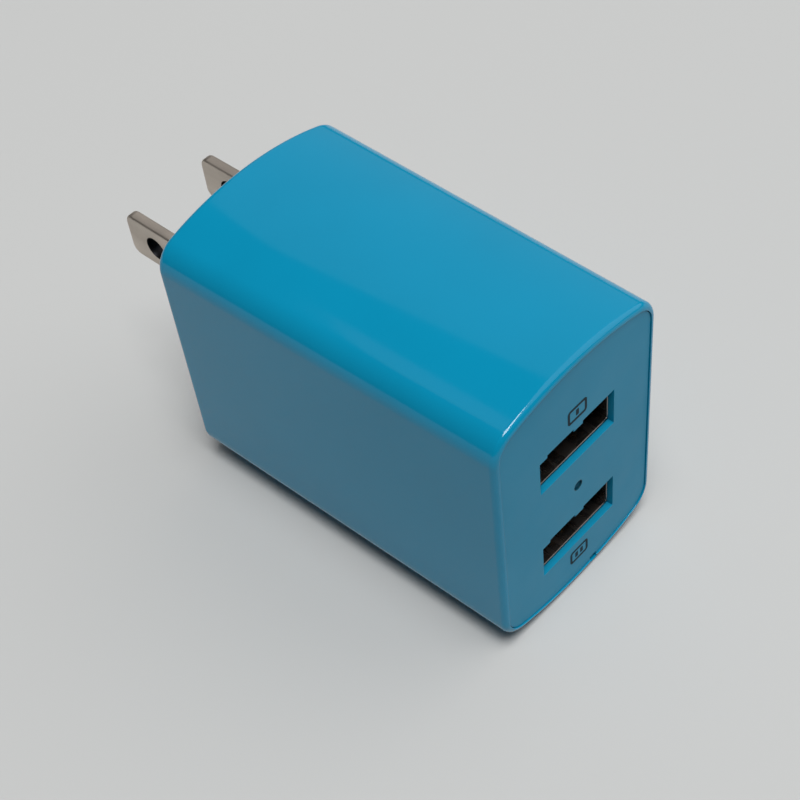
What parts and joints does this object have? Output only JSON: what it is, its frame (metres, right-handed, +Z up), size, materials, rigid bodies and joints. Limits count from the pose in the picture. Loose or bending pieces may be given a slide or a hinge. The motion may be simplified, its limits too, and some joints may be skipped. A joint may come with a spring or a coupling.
{
  "type": "usb wall charger",
  "caption": "Compact glossy wall charger: bulged rectangular sleeve, folding two-blade plug at the rear, stacked USB-A sockets and an indicator light in the inset front panel.",
  "frame": {"origin": "centre of the rear (wall) face of the case", "axes": "+Y out of the wall side, along the open blades; +Z up, towards the bulged top; +X along the long side of the ports"},
  "size_m": [0.0292, 0.0645, 0.0384],
  "materials": {
    "case": "gloss",
    "panel": "satin",
    "light_pipe": "clear",
    "light": "clear",
    "board": "satin",
    "shell_steel": "satin",
    "blade_steel": "nickel plated",
    "black_plastic": "satin",
    "white_plastic": "satin",
    "contact_metal": "gold flash",
    "spring_bronze": "plain",
    "spring_steel": "plain",
    "ferrite": "matt",
    "copper": "enamelled",
    "tape": "film",
    "tin": "tinned",
    "capacitor_navy": "sleeved",
    "capacitor_green": "sleeved",
    "choke_core": "sleeved",
    "resistor_body": "lacquer",
    "chip_black": "moulded",
    "disc_blue": "dipped",
    "sheet": "pressboard",
    "wire_red": "insulation",
    "wire_black": "insulation"
  },
  "bodies": {
    "body": {"sleeve": "case", "front_panel": "panel", "light_pipe": "light_pipe", "status_led": "light", "port_board": "board", "port_shell_upper": "shell_steel", "port_shell_lower": "shell_steel", "port_insulator_upper": "black_plastic", "port_insulator_lower": "black_plastic", "port_contacts_upper": "contact_metal", "port_contacts_lower": "contact_metal", "port_controller": "chip_black", "port_resistors": "chip_black", "main_board": "board", "transformer_core_inner": "ferrite", "transformer_core_outer": "ferrite", "transformer_bobbin": "black_plastic", "transformer_winding": "copper", "transformer_tape": "tape", "transformer_pins": "tin", "input_capacitor_lower": "capacitor_navy", "input_capacitor_upper": "capacitor_navy", "output_capacitor_large": "capacitor_green", "output_capacitor_small": "capacitor_green", "filter_choke": "choke_core", "fusible_resistor": "resistor_body", "bridge_rectifier": "chip_black", "safety_capacitor": "disc_blue", "optocoupler": "chip_black", "power_controller": "chip_black", "output_diode": "chip_black", "chip_resistors": "chip_black", "insulating_sheet": "sheet", "lead_wire_left": "wire_red", "lead_wire_right": "wire_black", "blade_cradle": "white_plastic", "contact_spring_left": "spring_bronze", "contact_spring_right": "spring_bronze", "detent_spring": "spring_steel"},
    "plug": {"blade_carrier": "white_plastic", "blade_left": "blade_steel", "blade_right": "blade_steel"}
  },
  "joints": [
    {"name": "plug_fold", "type": "hinge", "parent": "body", "child": "plug", "pos_m": [0, -0.004, 0.0051], "axis": [-1, 0, 0], "range_deg": [0, 90]}
  ]
}
